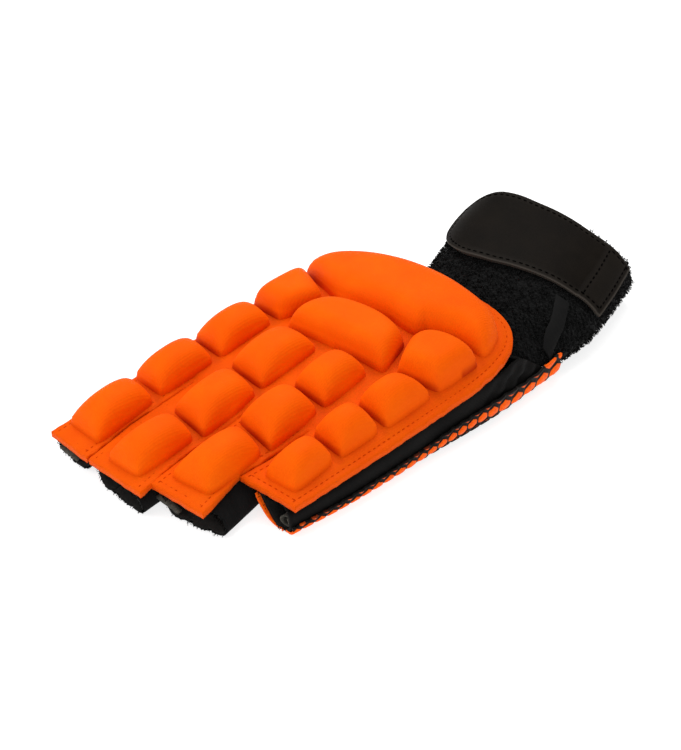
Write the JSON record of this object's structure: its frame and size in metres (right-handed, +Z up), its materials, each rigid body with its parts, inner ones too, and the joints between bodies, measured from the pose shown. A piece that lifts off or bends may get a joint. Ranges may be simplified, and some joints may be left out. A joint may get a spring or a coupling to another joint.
{
  "type": "field hockey glove",
  "caption": "Left-hand half-finger field hockey glove with a padded foam back, honeycomb grip palm, terry wrist cuff and closing strap.",
  "frame": {"origin": "on the surface the glove lies on, under the middle of its box", "axes": "+Z up from the palm to the back of the hand, -Y towards the finger ends, +X towards the little finger's side, -X towards the thumb"},
  "size_m": [0.1154, 0.2476, 0.0441],
  "materials": {
    "foam": "matt moulded foam, orange",
    "grip_cloth": "orange cloth under a black honeycomb grip print",
    "stretch_cloth": "smooth matt black",
    "sleeve_cloth": "matt black knit with a grey brushed inner face",
    "terry": "black looped terry",
    "strap": "black coated strap, stitched round",
    "hook": "black hook fastener"
  },
  "bodies": {
    "root": {"back_panel": "foam", "palm_panel": "grip_cloth", "outer_gusset": "stretch_cloth", "thumb_gusset": "stretch_cloth", "index_sleeve": "sleeve_cloth", "middle_sleeve": "sleeve_cloth", "ring_sleeve": "sleeve_cloth", "little_sleeve": "sleeve_cloth", "thumb_sleeve": "sleeve_cloth", "wrist_cuff": "terry", "cuff_side_tape": "stretch_cloth", "wrist_strap": "strap", "hook_patch": "hook"}
  },
  "joints": []
}
